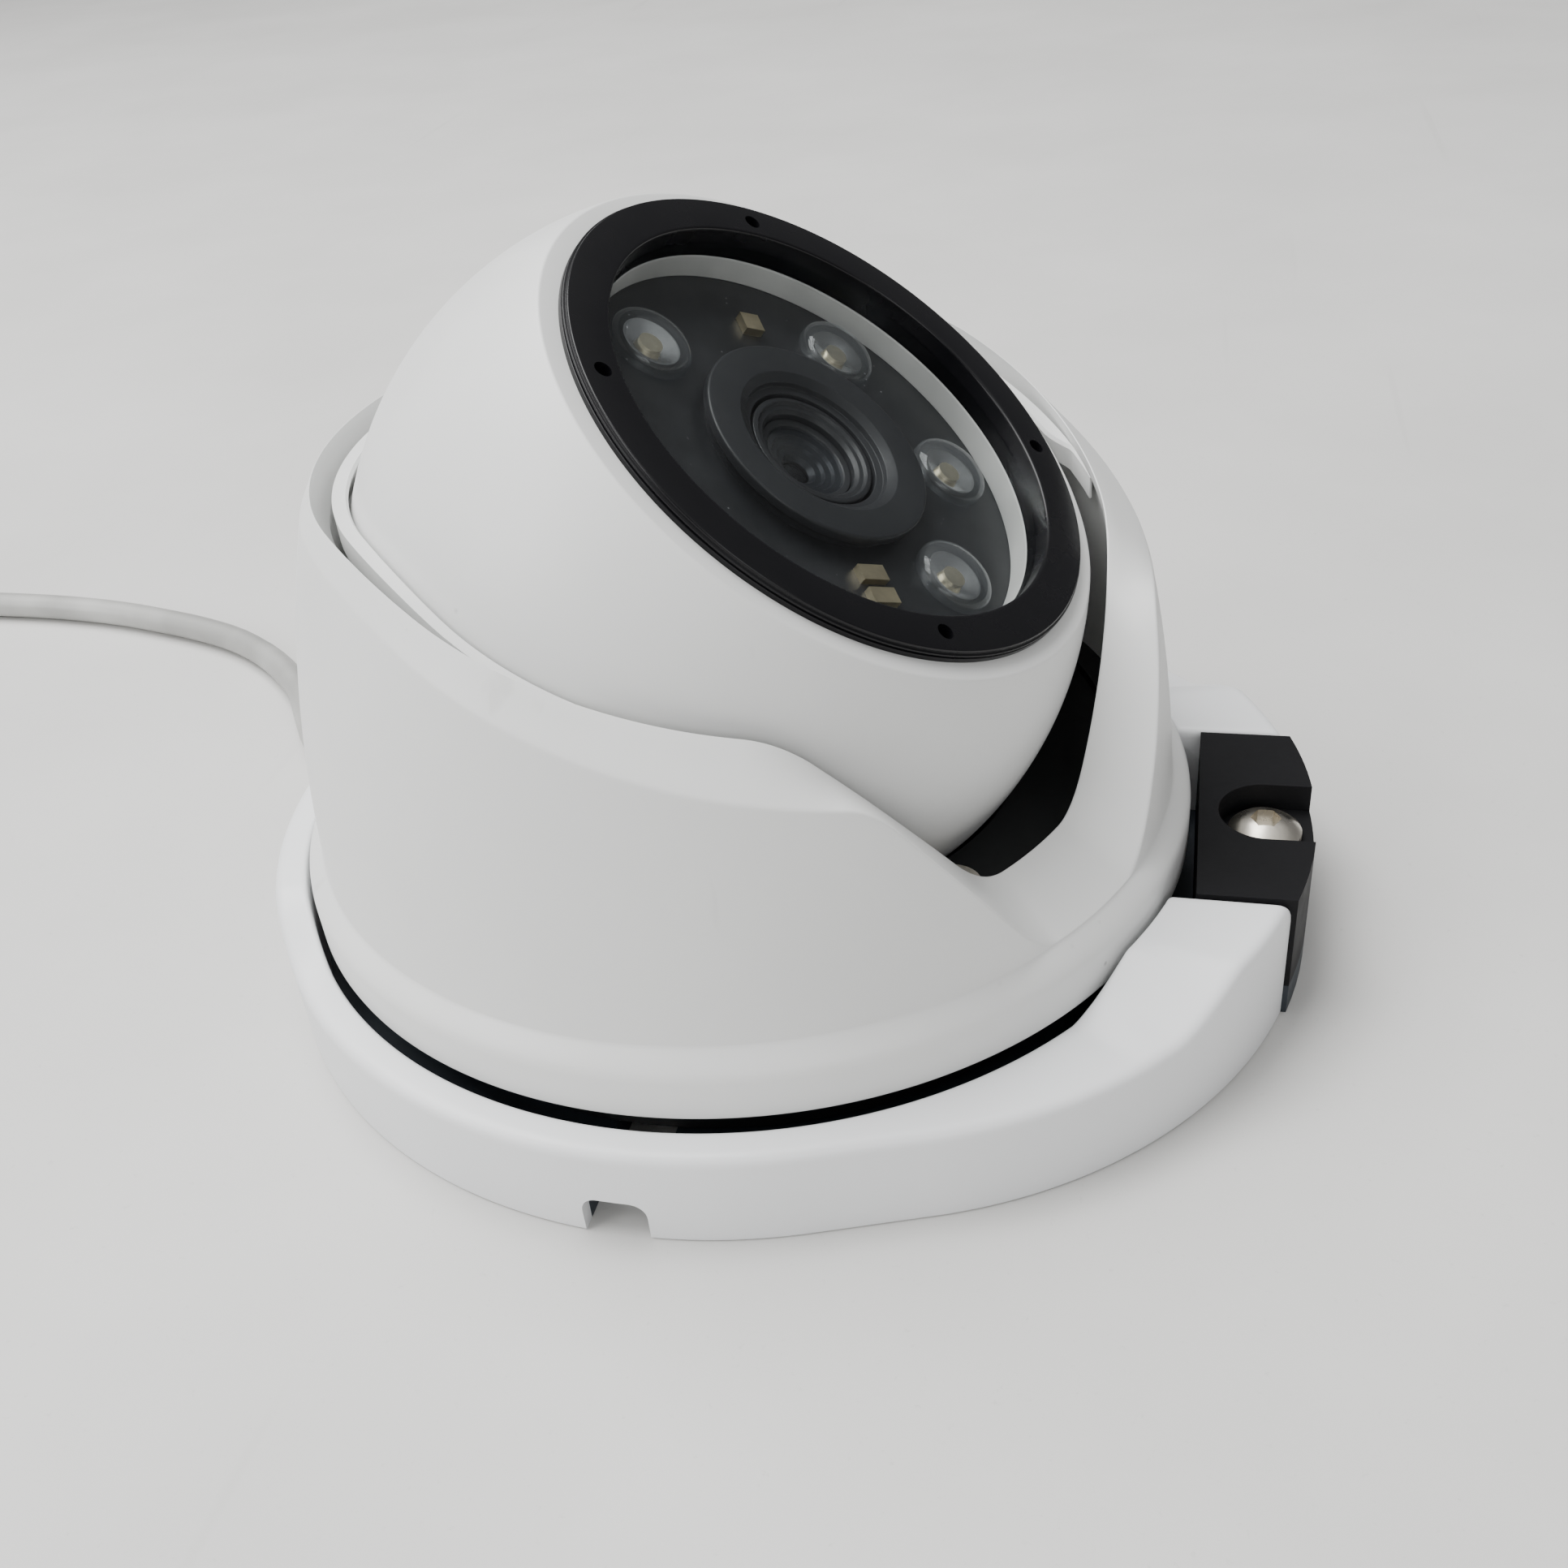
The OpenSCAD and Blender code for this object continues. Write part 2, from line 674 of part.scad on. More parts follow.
module board_standoffs() {
    color(steel) lens_frame() for (a = post_az) rotate([0, 0, a]) translate([hood_r + 1.7, 0, 0])
        ring_at(2, 1, sensor_z + 2.4, board_top - board_t);
}

module board_screws() {
    color(steel) lens_frame() for (a = post_az) rotate([0, 0, a]) translate([hood_r + 1.7, 0, 0]) {
        translate([0, 0, sensor_z + 0.8]) cylinder(r = 1, h = 6);
        translate([0, 0, sensor_z]) cylinder(r = 1.8, h = 0.8);
    }
}

// Cable

// A round tube through centre points, with level rings of n sides.
module tube(path, r, n) {
    last = len(path) - 1;
    ring = [for (i = [0:last])
        let (a = path[max(i - 1, 0)], b = path[min(i + 1, last)], d = b - a,
            u = d / norm(d), s = [u[1], -u[0], 0] / norm([u[0], u[1]]), w = cross(s, u))
        for (k = [0:n - 1]) path[i] + r * (cos(360 * k / n) * s + sin(360 * k / n) * w)];
    sides = [for (i = [0:last - 1]) for (k = [0:n - 1])
        [i * n + k, i * n + (k + 1) % n, (i + 1) * n + (k + 1) % n, (i + 1) * n + k]];
    polyhedron(ring, concat([[for (k = [n - 1:-1:0]) k]], sides, [[for (k = [0:n - 1]) last * n + k]]));
}

module cable() {
    color(grey) tube(cable_path, cable_r, 8);
}

module cable_coil() {
    color(grey) translate([coil_x, coil_y, 0]) difference() {
        ring_at(coil_r + cable_r, coil_r - cable_r, cable_z - cable_r, coil_top + cable_r);
        translate([0, coil_r - cable_r, -1]) cube([30, 10, 1 + cable_z + cable_r]);
        translate([-coil_r - cable_r - 5, -30, coil_top - cable_r]) cube([5 + 2 * cable_r, 30, 10]);
    }
}

module coil_tie() {
    color([0.1, 0.1, 0.1]) translate([coil_x, coil_y, 0]) rotate([0, 0, -35]) difference() {
        translate([coil_r - cable_r - 0.8, -1.5, 0])
            cube([2 * cable_r + 1.6, 3, coil_top + cable_r + 0.8]);
        ring_at(coil_r + cable_r, coil_r - cable_r, cable_z - cable_r, coil_top + cable_r);
    }
}

module cable_run_out() {
    color(grey) tube(out_path, cable_r, 8);
}

module cable_splitter() {
    color(black) translate([out_x, tail_y, 0]) {
        translate([-6, 0, 0]) cube([12, split_len, 2 * split_z]);
    }
}

module video_tail() {
    color(black) tube(video_path, tail_r, 8);
}

module power_tail() {
    color(black) tube(power_path, tail_r, 8);
}

module end_frame(p) {
    translate(p) rotate([90, 0, 0]) children();
}

module video_boot() {
    color(black) end_frame(video_path[7]) {
        cylinder(r1 = tail_r + 0.9, r2 = 4, h = 9);
        translate([0, 0, 9]) cylinder(r = 5.2, h = 8);
    }
}

module video_socket() {
    color(steel) end_frame(video_path[7]) translate([0, 0, 17]) difference() {
        union() {
            cylinder(r = 6.8, h = 2);
            cylinder(r = 4.8, h = 15);
            translate([0, 0, 11]) rotate([90, 0, 0]) cylinder(r = 1, h = 12.4, center = true);
        }
        translate([0, 0, 6]) ring_at(4.1, 1, 0, 12);
        translate([0, 0, 6]) cylinder(r = 0.5, h = 12);
    }
}

module power_boot() {
    color(black) end_frame(power_path[7]) cylinder(r1 = tail_r + 0.8, r2 = 3.6, h = 9);
}

module power_jack() {
    color(black) end_frame(power_path[7]) translate([0, 0, 9]) difference() {
        cylinder(r = 5, h = 22);
        translate([0, 0, 8]) ring_at(2.75, 1.05, 0, 20);
    }
}

base_plate();
trim_ring();
clamp_block();
lock_insert();
block_screws();
ring_screws();
retainer_ring();
retainer_screws();
cable_grommet();
lock_screw();
shroud();
inner_liner();
ball_cradle();
cradle_screws();
seat_ring();
cable_gland();
gland_nut();
front_shell();
rear_shell();
shell_seal();
front_bezel();
bezel_seal();
window_glass();
spacer_ring();
led_board();
ir_lamps();
lamp_emitters();
board_parts();
lens_hood();
lens_barrel();
lens_glass();
lens_holder();
holder_screws();
sensor_board();
image_sensor();
board_standoffs();
board_screws();
cable();
cable_coil();
coil_tie();
cable_run_out();
cable_splitter();
video_tail();
video_boot();
video_socket();
power_tail();
power_boot();
power_jack();
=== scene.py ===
"""Dome security camera: looks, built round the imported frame. Lengths are in millimetres until they
reach a mesh, where MM turns them into metres."""

import math

import bmesh
import bpy
from mathutils import Matrix, Vector


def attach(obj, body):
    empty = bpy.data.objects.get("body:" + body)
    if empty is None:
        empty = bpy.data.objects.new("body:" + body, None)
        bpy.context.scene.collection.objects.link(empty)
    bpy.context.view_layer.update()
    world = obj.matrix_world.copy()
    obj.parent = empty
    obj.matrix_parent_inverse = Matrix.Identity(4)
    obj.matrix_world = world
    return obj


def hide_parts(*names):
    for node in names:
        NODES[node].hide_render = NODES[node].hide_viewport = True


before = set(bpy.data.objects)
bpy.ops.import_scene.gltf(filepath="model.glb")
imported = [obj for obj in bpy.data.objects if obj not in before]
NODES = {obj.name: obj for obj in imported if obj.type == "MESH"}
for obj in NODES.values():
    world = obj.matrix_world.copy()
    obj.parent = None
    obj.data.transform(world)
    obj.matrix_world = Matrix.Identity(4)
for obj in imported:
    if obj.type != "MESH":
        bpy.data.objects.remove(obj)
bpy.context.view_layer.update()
MM = 0.001

# Base and housing
RING_R, RING_H, RING_BORE = 47.4, 9.5, 44.2
BULGE_X, BULGE_R = 10.7, 44.0
PLATFORM_H, PLATFORM_HALF, RAMP = 13.1, 22.5, 6.5
PLATE_T, CLAMP_HALF = 3.2, 13.5
NOTCH_W, NOTCH_H, FRONT_NOTCH, REAR_NOTCH = 5.7, 4.0, -91.0, 165.0
FOOT_R, FOOT_Z, WALL_Z, WALL_R = 43.6, 10.1, 17.2, 41.7
BULGE_Z, WALL_BULGE, WALL_T = 12.0, 116.0, 2.6
FRONT_AZ = math.radians(-30)

# Slanted rim of the housing: height at the middle, slope, greatest height and softness of the bend
RIM_MID, RIM_SLOPE, RIM_MAX, RIM_SOFT = 47.4, 0.35, 49.4, 2.5
LIP_R, LIP_MID, LIP_FALL, LIP_MAX = 34.4, 50.2, 0.36 * 35, 51.7

# Eyeball
BALL_R, BALL_Z, SEAM_Z = 33.7, 37.1, -8.0
LENS_ELEV, LENS_AZ = 51.5, -10.0
FACE_SHARE = 0.6246    # how far out the ball is cut flat, as a share of its radius
FACE_Z = BALL_R * FACE_SHARE
SHELL_FACE = FACE_Z - 1.15
BEZEL_R, WINDOW_R = 25.5, 21.6
GLASS_TOP = FACE_Z - 1.6
GLASS_LOW = GLASS_TOP - 1.5
BOARD_TOP = GLASS_LOW - 2.4
HOOD_R, HOOD_TOP = 11.0, GLASS_LOW - 0.3
LENS_TOP = HOOD_TOP - 1.2
LAMP_R, LAMP_CIRCLE, LAMP_AZ = 3.8, 16.4, (-92, -40, 16, 100)

# Cable
CABLE_D, TAIL_D, CABLE_Z = 3.5, 2.6, 1.85
EXIT_X = RING_R * math.cos(math.radians(REAR_NOTCH))
EXIT_Y = RING_R * math.sin(math.radians(REAR_NOTCH))
COIL_X, COIL_R, COIL_TURNS = EXIT_X - 122.2, 19.0, 3
COIL_Y = EXIT_Y + 38.2 - COIL_R
ROUND_IN = 0.999    # keeps the corners of the drawn turns inside the coil's own outline
COIL_TOP = CABLE_Z + (COIL_TURNS + 0.25) * CABLE_D
OUT_X, SPLIT_Y, SPLIT_Z = COIL_X - COIL_R, COIL_Y - 42, 3.5
TAIL_Y = SPLIT_Y - 18
CABLE_RUN = [(-10.2, 3.3), (-14.5, 6.7), (-18.8, 12.7), (-23, 18.7), (-30, 25.3), (-37.5, 30.1),
             (-45.2, 33.1), (-53.2, 35.2), (-60.2, 36.7), (-68.2, 37.7), (-75.2, 38.1), (-82.2, 38.2),
             (-90.2, 38.2), (-98.2, 38.2), (-106.2, 38.2), (-114.2, 38.2)]
RUN_OUT_FALL = [(0, 0), (6, 0), (12, 0), (17, 0.1), (22, 0.36), (27, 0.68), (32, 0.92), (37, 1), (42, 1)]
VIDEO_ROUTE = [(-3, 0, SPLIT_Z), (-3, 4, 3.2), (-3, 12, 2), (-2.8, 20, 1.8), (-2.4, 28, 3.4),
               (-2, 35, 5.8), (-2, 40, 6.8), (-2, 44, 6.8)]
POWER_ROUTE = [(3, 0, SPLIT_Z), (3, 4, 3.2), (4, 12, 2), (6.5, 20, 1.8), (9.5, 28, 2.6),
               (11.4, 35, 4.2), (12, 40, 5), (12, 44, 5)]


# ---------------------------------------------------------------- camera, floor and light

def look_frame(right, down, forward, place):
    axes = Matrix((right, tuple(-v for v in down), tuple(-v for v in forward))).transposed().to_4x4()
    axes.translation = Vector(place) * MM
    return axes


def add_camera():
    data = bpy.data.cameras.new("camera")
    data.sensor_width = 36.0
    data.lens = 37.42
    data.clip_start = 0.01
    data.dof.use_dof = False
    camera = bpy.data.objects.new("camera", data)
    bpy.context.scene.collection.objects.link(camera)
    camera.matrix_world = look_frame((0.97231, 0.21750, -0.08554), (0.05458, -0.56720, -0.82177),
                                     (-0.22725, 0.79434, -0.56336), (41.14, -130.49, 105.67))
    bpy.context.scene.camera = camera


def area_light(name, place, aim, size, power):
    data = bpy.data.lights.new(name, "AREA")
    data.shape = "RECTANGLE"
    data.size, data.size_y = size
    data.energy = power
    light = bpy.data.objects.new(name, data)
    bpy.context.scene.collection.objects.link(light)
    light.location = place
    light.rotation_euler = (Vector(aim) - Vector(place)).to_track_quat("-Z", "Y").to_euler()


# ---------------------------------------------------------------- materials

class Nodes:
    """A small helper that adds and links shader nodes."""

    def __init__(self, name):
        self.material = bpy.data.materials.new(name)
        self.material.use_nodes = True
        self.tree = self.material.node_tree
        self.shader = self.tree.nodes["Principled BSDF"]
        self.coords = self.tree.nodes.new("ShaderNodeTexCoord")

    def add(self, kind, values=None, **props):
        node = self.tree.nodes.new("ShaderNode" + kind)
        for key, value in props.items():
            setattr(node, key, value)
        for key, value in (values or {}).items():
            if hasattr(value, "is_output"):
                self.tree.links.new(value, node.inputs[key])
            else:
                node.inputs[key].default_value = value
        return node

    def set(self, **values):
        for key, value in values.items():
            key = key.replace("_", " ")
            if hasattr(value, "is_output"):
                self.tree.links.new(value, self.shader.inputs[key])
            else:
                self.shader.inputs[key].default_value = value

    def noise(self, scale, detail=2.0, rough=0.5):
        return self.add("TexNoise", {"Vector": self.coords.outputs["Object"], "Scale": scale,
                                     "Detail": detail, "Roughness": rough}).outputs["Fac"]

    def ramp(self, source, stops):
        node = self.add("ValToRGB", {"Fac": source})
        points = node.color_ramp.elements
        while len(points) < len(stops):
            points.new(0.5)
        for point, (place, colour) in zip(points, stops):
            point.position = place
            point.color = (*colour, 1) if len(colour) == 3 else colour
        return node.outputs["Color"]

    def mix(self, fac, a, b):
        node = self.add("Mix", data_type="RGBA")
        for index, value in ((0, fac), (6, a), (7, b)):
            if hasattr(value, "is_output"):
                self.tree.links.new(value, node.inputs[index])
            elif index == 0:
                node.inputs[index].default_value = value
            else:
                node.inputs[index].default_value = (*value, 1)
        return node.outputs[2]

    def bump(self, height, strength, distance):
        return self.add("Bump", {"Height": height, "Strength": strength,
                                 "Distance": distance}).outputs["Normal"]


def grey(v):
    return (v, v, v)


def painted(name, colour, rough, specks=0.0, grain=0.18, spec=0.45):
    m = Nodes(name)
    peel = m.noise(900, 3.0, 0.6)
    soft = m.noise(60, 4.0, 0.55)
    tint = m.ramp(soft, [(0.35, tuple(c * 0.97 for c in colour)), (0.7, colour)])
    if specks:
        spots = m.add("TexVoronoi", {"Vector": m.coords.outputs["Object"], "Scale": 420.0,
                                     "Randomness": 1.0})
        spot = m.ramp(spots.outputs["Distance"], [(0.05, grey(1)), (0.13, grey(0))])
        zone = m.ramp(m.noise(38, 3.0, 0.65), [(0.62, grey(0)), (0.72, grey(specks))])
        mask = m.add("Math", {0: spot, 1: zone}, operation="MULTIPLY").outputs[0]
        tint = m.mix(mask, tint, (0.16, 0.15, 0.14))
        long = m.add("Mapping", {"Vector": m.coords.outputs["Object"], "Scale": (1.0, 1.0, 0.12)})
        streak = m.add("TexNoise", {"Vector": long.outputs[0], "Scale": 240.0, "Detail": 3.0})
        worn = m.ramp(streak.outputs["Fac"], [(0.7, grey(0)), (0.78, grey(0.25))])
        tint = m.mix(worn, tint, (0.5, 0.49, 0.47))
    roughness = m.ramp(m.noise(140, 3.0, 0.6), [(0.3, grey(rough - 0.05)), (0.7, grey(rough + 0.06))])
    m.set(Base_Color=tint, Roughness=roughness, Normal=m.bump(peel, grain, 0.00006))
    m.set(Specular_IOR_Level=spec)
    return m.material


def plastic(name, colour, rough, grain=0.25, scale=1500.0, spec=0.4):
    m = Nodes(name)
    fine = m.noise(scale, 3.0, 0.6)
    cloud = m.noise(80, 3.0, 0.5)
    tint = m.ramp(cloud, [(0.35, tuple(c * 0.8 for c in colour)), (0.7, tuple(c * 1.15 for c in colour))])
    roughness = m.ramp(m.noise(200, 3.0, 0.6), [(0.3, grey(rough - 0.06)), (0.7, grey(rough + 0.06))])
    m.set(Base_Color=tint, Roughness=roughness, Normal=m.bump(fine, grain, 0.00005))
    m.set(Specular_IOR_Level=spec)
    return m.material


def metal(name, colour, rough, scale=700.0):
    m = Nodes(name)
    lines = m.noise(scale, 2.0, 0.7)
    tint = m.ramp(lines, [(0.3, tuple(c * 0.85 for c in colour)), (0.7, colour)])
    roughness = m.ramp(m.noise(260, 3.0, 0.6), [(0.3, grey(rough - 0.06)), (0.7, grey(rough + 0.1))])
    m.set(Base_Color=tint, Metallic=1.0, Roughness=roughness, Normal=m.bump(lines, 0.15, 0.00004))
    return m.material


def clear(name, colour, gloss=0.03, cloudy=0.0, mirror=0.45):
    """Thin clear glass: see-through, with a Fresnel reflection."""
    m = Nodes(name)
    m.material.blend_method = "BLEND"
    m.tree.nodes.remove(m.shader)
    out = m.tree.nodes["Material Output"]
    smear = m.noise(90, 4.0, 0.6)
    tint = m.ramp(smear, [(0.3, tuple(c * 0.96 for c in colour)), (0.7, colour)])
    through = m.add("BsdfTransparent", {"Color": tint})
    roughness = m.ramp(smear, [(0.35, grey(gloss)), (0.8, grey(gloss + 0.05))])
    shine = m.add("BsdfGlossy", {"Color": (*grey(mirror), 1), "Roughness": roughness})
    fresnel = m.add("Fresnel", {"IOR": 1.45})
    outside = m.add("Math", {0: 1.0, 1: m.add("NewGeometry").outputs["Backfacing"]}, operation="SUBTRACT")
    share = m.add("Math", {0: fresnel.outputs[0], 1: outside.outputs[0]}, operation="MULTIPLY")
    mixed = m.add("MixShader", {0: share.outputs[0], 1: through.outputs[0], 2: shine.outputs[0]})
    if cloudy:
        milk = m.add("BsdfDiffuse", {"Color": (*colour, 1)})
        mixed = m.add("MixShader", {0: cloudy, 1: mixed.outputs[0], 2: milk.outputs[0]})
    m.tree.links.new(mixed.outputs[0], out.inputs["Surface"])
    return m.material


def board_material():
    m = Nodes("board")
    dust = m.add("TexVoronoi", {"Vector": m.coords.outputs["Object"], "Scale": 900.0})
    speck = m.ramp(dust.outputs["Distance"], [(0.04, grey(1)), (0.1, grey(0))])
    where = m.ramp(m.noise(120, 2.0, 0.6), [(0.52, grey(0)), (0.6, grey(0.8))])
    mask = m.add("Math", {0: speck, 1: where}, operation="MULTIPLY").outputs[0]
    base = m.ramp(m.noise(150, 3.0, 0.6), [(0.3, (0.018, 0.019, 0.021)), (0.7, (0.034, 0.035, 0.038))])
    m.set(Base_Color=m.mix(mask, base, (0.5, 0.5, 0.5)), Roughness=0.42,
          Normal=m.bump(m.noise(1200, 2.0), 0.2, 0.00004))
    return m.material


def floor_material():
    m = Nodes("floor")
    cloud = m.noise(14, 5.0, 0.6)
    tint = m.ramp(cloud, [(0.3, (0.6, 0.595, 0.58)), (0.75, (0.68, 0.675, 0.66))])
    fine = m.ramp(m.noise(900, 4.0, 0.75), [(0.62, grey(0)), (0.72, grey(0.35))])
    tint = m.mix(fine, tint, (0.46, 0.455, 0.44))
    stretch = m.add("Mapping", {"Vector": m.coords.outputs["Object"], "Rotation": (0, 0, 0.6),
                                "Scale": (1, 0.04, 1)})
    scratch = m.add("TexNoise", {"Vector": stretch.outputs[0], "Scale": 160.0, "Detail": 2.0})
    worn = m.ramp(scratch.outputs["Fac"], [(0.7, grey(0)), (0.74, grey(0.22))])
    tint = m.mix(worn, tint, (0.5, 0.495, 0.48))
    m.set(Base_Color=tint, Roughness=0.5, Normal=m.bump(m.noise(300, 5.0, 0.7), 0.12, 0.0002))
    m.set(Specular_IOR_Level=0.3)
    return m.material


WHITE = painted("white_paint", (0.76, 0.765, 0.755), 0.42, specks=0.7)
RING_WHITE = painted("ring_white", (0.82, 0.83, 0.84), 0.38)
BLACK = painted("black_cast", (0.004, 0.004, 0.005), 0.24, grain=0.12, spec=0.3)
BLOCK = plastic("black_plastic", (0.004, 0.004, 0.005), 0.6, spec=0.2)
DARK = plastic("dark_inside", (0.016, 0.017, 0.018), 0.6, spec=0.25)
GAP = plastic("gap_slate", (0.03, 0.038, 0.048), 0.55)
RUBBER = plastic("rubber", (0.02, 0.02, 0.02), 0.7)
HOOD = plastic("hood", (0.03, 0.031, 0.034), 0.42, grain=0.12)
SPACER = plastic("spacer", (0.62, 0.62, 0.6), 0.5, grain=0.1)
JACKET = plastic("cable_jacket", (0.4, 0.4, 0.385), 0.4, grain=0.12, scale=500.0, spec=0.5)
STEEL = metal("steel", (0.72, 0.68, 0.6), 0.28)
NICKEL = metal("nickel", (0.75, 0.74, 0.72), 0.2)
BRASS = metal("brass", (0.75, 0.56, 0.28), 0.3)
GLASS = clear("window", (0.93, 0.94, 0.94))
LENS = clear("lens", (0.8, 0.82, 0.85), gloss=0.05, mirror=0.9)
RESIN = clear("lamp_resin", (0.86, 0.88, 0.9), gloss=0.04, cloudy=0.05, mirror=1.0)
EMITTER = metal("emitter", (0.9, 0.8, 0.55), 0.35)
BOARD = board_material()


# ---------------------------------------------------------------- mesh helpers

def obj_from(name, verts, faces, material, body, matrix=None, sharp=35.0):
    mesh = bpy.data.meshes.new(name)
    mesh.from_pydata([tuple(c * MM for c in v) for v in verts], [], faces)
    if matrix is not None:
        mesh.transform(matrix)
    b = bmesh.new()
    b.from_mesh(mesh)
    bmesh.ops.remove_doubles(b, verts=b.verts, dist=1e-6)
    bmesh.ops.recalc_face_normals(b, faces=b.faces)
    b.to_mesh(mesh)
    b.free()
    mesh.polygons.foreach_set("use_smooth", [True] * len(mesh.polygons))
    mesh.set_sharp_from_angle(angle=math.radians(sharp))
    mesh.materials.append(material)
    thing = bpy.data.objects.new(name, mesh)
    bpy.context.scene.collection.objects.link(thing)
    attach(thing, body)
    return thing


def lens_matrix():
    turn = (Matrix.Rotation(math.radians(LENS_AZ), 4, "Z")
            @ Matrix.Rotation(math.radians(90 - LENS_ELEV), 4, "Y"))
    return Matrix.Translation((0, 0, BALL_Z * MM)) @ turn


LENS_FRAME = lens_matrix()


def rounded(corners, steps=4):
    """Corners (r, z, radius): each is replaced by an arc where its radius isn't 0."""
    points = []
    count = len(corners)
    for i, (x, z, radius) in enumerate(corners):
        here = Vector((x, z))
        if radius <= 0:
            points.append((x, z))
            continue
        before = Vector(corners[i - 1][:2]) - here
        after = Vector(corners[(i + 1) % count][:2]) - here
        u, v = before.normalized(), after.normalized()
        half = u.angle(v) / 2
        reach = min(radius / math.tan(half), before.length * 0.49, after.length * 0.49)
        a, b = here + u * reach, here + v * reach
        for k in range(steps + 1):
            t = k / steps
            p = a * (1 - t) ** 2 + here * 2 * t * (1 - t) + b * t ** 2
            points.append((p.x, p.y))
    return points


def lathe(name, corners, material, body, matrix=None, segments=160, closed=True, steps=4):
    """Turns an outline of corners (r, z, radius) round the local Z axis."""
    profile = rounded(corners, steps)
    count = len(profile)
    verts = [(r * math.cos(2 * math.pi * k / segments), r * math.sin(2 * math.pi * k / segments), z)
             for k in range(segments) for r, z in profile]
    faces = []
    for k in range(segments):
        n = (k + 1) % segments
        for i in range(count if closed else count - 1):
            j = (i + 1) % count
            faces.append((k * count + i, n * count + i, n * count + j, k * count + j))
    return obj_from(name, verts, collapse(verts, faces), material, body, matrix)


def collapse(verts, faces):
    """Drops repeated corners where a profile touches its axis."""
    keep = []
    for face in faces:
        seen = []
        for i in face:
            spot = tuple(round(c, 5) for c in verts[i])
            if all(spot != tuple(round(c, 5) for c in verts[j]) for j in seen):
                seen.append(i)
        if len(seen) > 2:
            keep.append(tuple(seen))
    return keep


def cut(target, tool):
    """Takes tool out of target and removes tool."""
    change = target.modifiers.new("cut", "BOOLEAN")
    change.operation = "DIFFERENCE"
    change.solver = "EXACT"
    change.object = tool
    done = bpy.data.meshes.new_from_object(target.evaluated_get(bpy.context.evaluated_depsgraph_get()))
    target.modifiers.remove(change)
    old = target.data
    target.data = done
    done.name = old.name
    bpy.data.objects.remove(tool)
    done.polygons.foreach_set("use_smooth", [True] * len(done.polygons))
    done.set_sharp_from_angle(angle=math.radians(35))


def plain_object(name, verts, faces, matrix=None):
    mesh = bpy.data.meshes.new(name)
    mesh.from_pydata([tuple(c * MM for c in v) for v in verts], [], faces)
    if matrix is not None:
        mesh.transform(matrix)
    b = bmesh.new()
    b.from_mesh(mesh)
    bmesh.ops.recalc_face_normals(b, faces=b.faces)
    b.to_mesh(mesh)
    b.free()
    thing = bpy.data.objects.new(name, mesh)
    bpy.context.scene.collection.objects.link(thing)
    return thing


def prism(name, outline, low, high, matrix=None):
    """A prism along local Z over an outline of (x, y)."""
    n = len(outline)
    verts = [(x, y, low) for x, y in outline] + [(x, y, high) for x, y in outline]
    faces = [tuple(range(n - 1, -1, -1)), tuple(range(n, 2 * n))]
    faces += [(i, (i + 1) % n, n + (i + 1) % n, n + i) for i in range(n)]
    return plain_object(name, verts, faces, matrix)


def turned(azimuth):
    return Matrix.Rotation(math.radians(azimuth), 4, "Z")


def circle_points(radius, count, x=0.0, y=0.0):
    return [(x + radius * math.cos(2 * math.pi * k / count), y + radius * math.sin(2 * math.pi * k / count))
            for k in range(count)]


# ---------------------------------------------------------------- base ring

# A straight edge joins the round ring, from TANGENT on, to the bulge, up to BULGE_END
TANGENT = math.degrees(math.acos((RING_R - BULGE_R) / BULGE_X))
BULGE_END = math.degrees(math.atan2(BULGE_R * math.sin(math.radians(TANGENT)),
                                    BULGE_X + BULGE_R * math.cos(math.radians(TANGENT))))
EDGE_ROUND = 0.9    # how the ring's top rounds over at the clamp's cut
CUT_R = math.hypot(BULGE_X + math.sqrt(BULGE_R ** 2 - CLAMP_HALF ** 2), CLAMP_HALF)


def ring_edge(azimuth):
    """The base ring's outer radius in a direction, in degrees."""
    a = abs((azimuth + 180) % 360 - 180)
    if a > TANGENT:
        return RING_R
    if a > BULGE_END:
        return RING_R / math.cos(math.radians(a - TANGENT))
    t = math.radians(a)
    return BULGE_X * math.cos(t) + math.sqrt(BULGE_R ** 2 - (BULGE_X * math.sin(t)) ** 2)


def smooth_step(x):
    x = min(max(x, 0.0), 1.0)
    return x * x * (3 - 2 * x)


def ring_top(y):
    """Height of the ring's top: the platform near the clamp, then a ramp with soft creases."""
    t = (abs(y) - PLATFORM_HALF) / RAMP
    straight = min(max(t, 0.0), 1.0)
    mixed = 0.75 * straight + 0.25 * smooth_step(t)
    return PLATFORM_H + (RING_H - PLATFORM_H) * mixed


